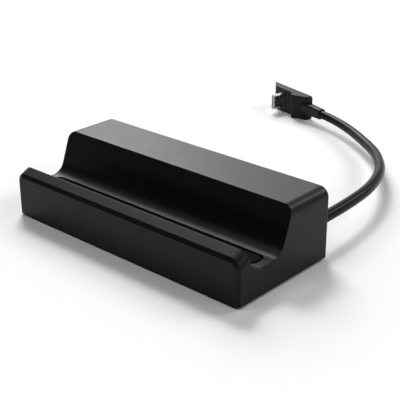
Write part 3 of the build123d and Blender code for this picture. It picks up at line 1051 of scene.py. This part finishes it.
@dataclass
class Studio:
    """White table, white surroundings, soft lamps and two cards: dark round the front, grey behind.

    Lengths are in metres. The table keeps the dock's shadow in a box round the dock, given by its middle and
    its half sides, and fades to plain white past that box.
    """

    floor_half: float = 6.0
    floor_white: float = 0.9
    floor_middle: tuple[float, float] = (0.0, 0.06)
    floor_shaded: tuple[float, float] = (0.07, 0.085)
    floor_fade: tuple[float, float] = (0.004, 0.04)
    backdrop: float = 1.0
    aim: Triple = (0.0, 0.03, 0.0)
    card_radius: float = 2.0
    card_height: float = 5.0
    card_steps: int = 24
    cards: tuple[Card, ...] = (
        Card("dark_card", -92.0, 130.0, 0.0),
        Card("grey_card", 130.0, 205.0, 0.4),
    )
    lamps: tuple[Softbox, ...] = (
        Softbox("key_left", 231.0, 52.0, 1.5, 0.40, 0.35, 25.8),
        Softbox("low_left", 231.0, 28.0, 1.5, 0.35, 0.35, 8.2),
        Softbox("side_left", 244.0, 40.0, 1.5, 0.35, 0.35, 8.8),
        Softbox("back_left", 218.0, 40.0, 1.5, 0.35, 0.35, 6.6),
        Softbox("back_right", 149.0, 38.0, 1.5, 0.40, 0.40, 8.4),
        Softbox("back_low", 165.0, 28.0, 1.5, 0.40, 0.40, 3.6),
        Softbox("low_right", 100.0, 30.0, 1.5, 0.60, 0.50, 4.6),
        Softbox("top_front", 348.0, 62.0, 1.5, 1.30, 0.55, 2.95),
    )

    def seen(self, graph: Graph) -> Tone:
        """Where the camera, gloss and glass look.

        Args:
            graph: the tree that asks.

        Returns:
            1 for their rays, and 0 for those that only carry light.
        """
        kinds = ("Camera", "Glossy", "Transmission")
        camera, gloss, glass = (graph.node("ShaderNodeLightPath", output=f"Is {kind} Ray") for kind in kinds)
        return camera.or_(gloss).or_(glass)

    def floor(self) -> bpy.types.Object:
        """Make the table top.

        Returns:
            The table top.
        """
        side = self.floor_half
        corners = [(-side, -side, 0), (side, -side, 0), (side, side, 0), (-side, side, 0)]
        mesh = bpy.data.meshes.new("table")
        mesh.from_pydata(corners, [], [(0, 1, 2, 3)])
        table = new_object("table", mesh)
        white = bpy.data.materials.new("table white")
        white.use_nodes = True
        graph = Graph(white.node_tree)
        reach: Feed = 0.0
        for name, centre, half in zip("XY", self.floor_middle, self.floor_shaded):
            off = graph.axis(name) - centre
            past = ((off * off) ** 0.5 - half).or_(0.0)
            reach = past * past + reach
        away = (reach ** 0.5).rise(*self.floor_fade)
        glow = away * self.seen(graph)
        shader = graph.node(
            "ShaderNodeBsdfPrincipled",
            None,
            {
                "Base Color": graph.blend(away, shade(WHITE, self.floor_white), shade(BLACK)),
                "Roughness": 1.0,
                "Specular IOR Level": 0.0,
                "Emission Color": graph.blend(glow, shade(BLACK), shade(WHITE)),
                "Emission Strength": self.backdrop,
            },
        )
        graph.node("ShaderNodeOutputMaterial", None, {"Surface": shader})
        mesh.materials.append(white)
        return table

    def stand(self, card: Card) -> bpy.types.Object:
        """Stand a card round the dock, out of the camera's sight.

        Args:
            card: the card.

        Returns:
            Its object.
        """
        points, faces = [], []
        for step in range(self.card_steps + 1):
            turn = math.radians(card.first + (card.last - card.first) * step / self.card_steps)
            x, y = math.sin(turn) * self.card_radius, -math.cos(turn) * self.card_radius
            points += [(x, y, 0.0), (x, y, self.card_height)]
            if step:
                faces.append((2 * step - 2, 2 * step, 2 * step + 1, 2 * step - 1))
        mesh = bpy.data.meshes.new(card.name)
        mesh.from_pydata(points, [], faces)
        paint = bpy.data.materials.new(card.name)
        paint.use_nodes = True
        graph = Graph(paint.node_tree)
        glow = self.seen(graph) * self.backdrop
        shader = graph.node("ShaderNodeEmission", None, {"Color": shade(WHITE, card.grey), "Strength": glow})
        graph.node("ShaderNodeOutputMaterial", None, {"Surface": shader})
        mesh.materials.append(paint)
        made = new_object(card.name, mesh)
        made.visible_camera = False
        made.visible_shadow = False
        return made

    def surroundings(self) -> None:
        """Make the world: dark for the light it gives, white where it is seen."""
        world = bpy.data.worlds.new("studio")
        world.use_nodes = True
        graph = Graph(world.node_tree)
        dark, bright = (
            graph.node("ShaderNodeBackground", None, {"Color": shade(WHITE), "Strength": strength})
            for strength in (0.0, self.backdrop)
        )
        mixed = graph.node("ShaderNodeMixShader", None, {0: self.seen(graph), 1: dark, 2: bright})
        graph.node("ShaderNodeOutputWorld", None, {"Surface": mixed})
        bpy.context.scene.world = world

    def build(self) -> None:
        """Make the floor, the cards, the surroundings and the lamps."""
        bpy.context.scene.view_settings.view_transform = "Standard"
        self.floor()
        for card in self.cards:
            self.stand(card)
        self.surroundings()
        for lamp in self.lamps:
            lamp.build(Vector(self.aim))


# Captive lead

@dataclass
class CaptiveLead:
    """The lead from the back wall to the right-angled plug.

    "swell" is the jacket's share of the diameter at each point of the route. The liner starts ahead of the
    route's end by "mouth_reach", along the plug, and beside it by "mouth_from", along the metal tip.
    """

    diameter: float = 4.2
    length: float = 155.7
    route: tuple[Triple, ...] = (
        (51.5, 25.25, 12.2),
        (51.5, 56.75, 12.2),
        (42.7, 85.9, 10.5),
        (28.4, 107.2, 7.8),
        (16.0, 119.9, 6.5),
        (-12.956, 139.181, 6.3),
        (-28.3, 143.35, 6.3),
    )
    swell: tuple[float, ...] = (1.1, 1.1, 1.1, 1.1, 1.1, 1.02, 1.0)
    plug_nodes: tuple[str, ...] = ("plug_body", "plug_relief", "plug_tip", "plug_tongue")
    plug_heading: float = 164.8
    mouth_reach: float = 29.8
    mouth_from: float = 4.1
    liner: BlockSizes = BlockSizes(length=7.5, width=1.66, slot_length=6.5, slot_width=0.6, depth=4.42)
    contacts: Leaves = Leaves(count=12, pitch=0.5, width=0.27, thickness=0.12, length=4.27, rise=0.1)
    section_steps: int = 8
    run_steps: int = 24
    run_order: int = 3

    def mouth(self) -> list[bpy.types.Object]:
        """Make what shows in the mouth of the plug's metal tip.

        Returns:
            A slotted liner and two rows of contacts.
        """
        turn = math.radians(self.plug_heading)
        ahead = Vector((math.cos(turn), math.sin(turn), 0.0))
        out = Vector((-math.sin(turn), math.cos(turn), 0.0))
        up = Vector((0.0, 0.0, 1.0))
        start = Vector(self.route[-1]) + ahead * self.mouth_reach + out * self.mouth_from
        liner = SlottedBlock().run("plug_liner", Finishes.liner, self.liner, frame_at(start, up, ahead))
        pieces = [keep(liner, Finishes.liner)]
        leaves = LeafRow()
        for number, side in enumerate((1.0, -1.0), 1):
            wall = frame_at(start + ahead * (self.liner.slot_width / 2 * side), up * side, out)
            row = leaves.run(f"plug_contacts_{number}", Finishes.gold, self.contacts, wall)
            pieces.append(keep(row, Finishes.gold))
        return pieces

    def cord(self, riders: Sequence[bpy.types.Object]) -> bpy.types.Object:
        """Make the lead as one smooth curve.

        Args:
            riders: pieces on the plug besides its solids.

        Returns:
            The lead.
        """
        data = bpy.data.curves.new("lead", "CURVE")
        data.dimensions = "3D"
        data.bevel_depth = self.diameter / 2 * MM
        data.bevel_resolution = self.section_steps
        data.use_fill_caps = True
        data.resolution_u = self.run_steps
        spline = data.splines.new("NURBS")
        spline.points.add(len(self.route) - 1)
        for point, place, swell in zip(spline.points, self.route, self.swell):
            point.co = (*(Vector(place) * MM), 1.0)
            point.radius = swell
        spline.order_u = self.run_order
        spline.use_endpoint_u = True
        lead = new_object("lead", data)
        data.materials.append(Finishes.jacket.material())
        keep(lead, Finishes.jacket, ["cord"])
        tuple(c * MM for c in self.route[0])
        [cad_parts[name] for name in self.plug_nodes] + list(riders)
        return lead

    def dress(self) -> None:
        """Give the plug, the gland and the hidden end their finishes."""
        dress(Finishes.plug, "plug_body", "plug_relief")
        dress(Finishes.tip, "plug_tip")
        dress(Finishes.insert, "plug_tongue")
        dress(Finishes.jacket, "cord_gland", "lead_tail")

    def build(self) -> None:
        """Make and dress the lead."""
        self.cord(self.mouth())
        self.dress()


# Shell and inner parts

@dataclass
class Shell:
    """The moulded shell with its base, pad, ribbed feet and screws."""

    foot: FootSizes = FootSizes(
        length=92.0, width=8.0, spread=28.5, height=1.6, tread=0.45, rim=1.1, rib=1.2, pitch=2.4
    )

    def feet(self) -> bpy.types.Object:
        """Make both ribbed feet, as one piece."""
        pair = GripFeet().run("ribbed_feet", Finishes.foot, self.foot, Matrix())
        return keep(pair, Finishes.foot, ["feet"])

    def build(self) -> None:
        """Dress the shell's solids and make the feet."""
        dress(Finishes.case, "upper_housing")
        dress(Finishes.base, "base_cover")
        dress(Finishes.pad, "cradle_pad")
        self.feet()
        dress(Finishes.screw, "case_screws", "board_screws")


@dataclass
class Board:
    """The circuit board and what is soldered to it."""

    def build(self) -> None:
        """Dress the board's solids."""
        dress(Finishes.board, "circuit_board")
        dress(Finishes.chip, "hub_chip", "video_chip", "network_chip", "power_chip", "network_transformer")
        dress(Finishes.can, "crystals", "capacitors")
        dress(Finishes.choke, "inductors")
        dress(Finishes.insert, "lead_header")


@dataclass(frozen=True)
class Tongue:
    """A socket's flat tongue: its middle, its thickness, its first and last Y, and its contacts."""

    name: str
    x: float
    z: float
    thickness: float
    start: float
    end: float
    top: int
    under: int
    pitch: float


@dataclass
class SocketRow:
    """The row of sockets behind the back wall, with their contacts, springs and light pipes.

    "side" is measured from the middle of an upright socket, and "start" is the Y that leaves run back from.
    """

    upright_x: tuple[float, ...] = (-31.97, -21.99, -12.0)
    upright_z: float = 16.57
    contact: Leaves = Leaves(count=4, pitch=2.2, width=1.0, thickness=0.2, length=7.0, rise=0.28)
    contact_side: float = 0.18
    contact_start: float = 16.4
    spring: Leaves = Leaves(count=2, pitch=5.6, width=2.2, thickness=0.22, length=8.5, rise=0.6)
    spring_side: float = -2.51
    spring_start: float = 14.6
    tongues: tuple[Tongue, ...] = (
        Tongue("video", 2.63, 12.775, 1.9, 16.95, 23.55, 10, 9, 1.0),
        Tongue("display", 22.84, 12.8, 1.6, 16.45, 23.45, 10, 10, 1.0),
        Tongue("power", 40.03, 11.58, 0.7, 19.35, 24.25, 12, 12, 0.5),
    )
    track_thickness: float = 0.12
    track_share: float = 0.5
    track_short: float = 0.5
    network_x: float = -47.3
    pipe_spread: float = 10.4
    pipe_face: float = 24.9
    pipe_z: float = 11.7
    pipe: LensSizes = LensSizes(length=3.2, width=2.0, corner=0.3, depth=0.08, dome=0.1)

    def uprights(self, leaves: LeafRow) -> None:
        """Make the upright sockets' contacts and the springs in their shells.

        Args:
            leaves: the tree that makes them.
        """
        for number, x in enumerate(self.upright_x, 1):
            face_start = (x + self.contact_side, self.contact_start, self.upright_z)
            wall_start = (x + self.spring_side, self.spring_start, self.upright_z)
            face = frame_at(face_start, (0, 0, 1), (0, 1, 0))
            wall = frame_at(wall_start, (0, 0, -1), (0, 1, 0))
            keep(leaves.run(f"usb_contacts_{number}", Finishes.gold, self.contact, face), Finishes.gold)
            keep(leaves.run(f"usb_springs_{number}", Finishes.plate, self.spring, wall), Finishes.plate)

    def flats(self, leaves: LeafRow) -> None:
        """Make the contacts on both sides of the flat sockets' tongues.

        Args:
            leaves: the tree that makes them.
        """
        for tongue in self.tongues:
            length = tongue.end - tongue.start - self.track_short
            width = tongue.pitch * self.track_share
            for side, count, turn in (("top", tongue.top, 1.0), ("under", tongue.under, -1.0)):
                tracks = Leaves(count, tongue.pitch, width, self.track_thickness, length)
                start = (tongue.x, tongue.start, tongue.z + turn * tongue.thickness / 2)
                place = frame_at(start, (turn, 0, 0), (0, 1, 0))
                row = leaves.run(f"{tongue.name}_contacts_{side}", Finishes.gold, tracks, place)
                keep(row, Finishes.gold)

    def pipes(self) -> None:
        """Make the two light pipes in the network jack's face."""
        lens = Lens()
        pair = {"green_pipe": (-0.5, Finishes.green_pipe), "amber_pipe": (0.5, Finishes.amber_pipe)}
        for name, (side, finish) in pair.items():
            centre = (self.network_x + side * self.pipe_spread, self.pipe_face, self.pipe_z)
            keep(lens.run(name, finish, self.pipe, frame_at(centre, (-1, 0, 0), (0, 0, 1))), finish)

    def build(self) -> None:
        """Dress the sockets' solids and make their small parts."""
        numbers = range(1, len(self.upright_x) + 1)
        dress(Finishes.plate, "network_shield", "video_shell", "display_shell", "power_shell")
        dress(Finishes.plate, *(f"usb_shell_{number}" for number in numbers))
        dress(Finishes.insert, "network_body", "video_tongue", "display_tongue", "power_tongue")
        dress(Finishes.insert, *(f"usb_tongue_{number}" for number in numbers))
        dress(Finishes.gold, "network_contacts")
        leaves = LeafRow()
        self.uprights(leaves)
        self.flats(leaves)
        self.pipes()


def main() -> None:
    """Build the camera, the studio and the dock's sub-assemblies in order."""
    logging.basicConfig(level=logging.INFO, format="%(name)s %(message)s")
    PhotoCamera().build()
    CaptiveLead().build()
    Studio().build()
    Shell().build()
    SocketRow().build()
    Board().build()


if __name__ == "__main__":
    main()
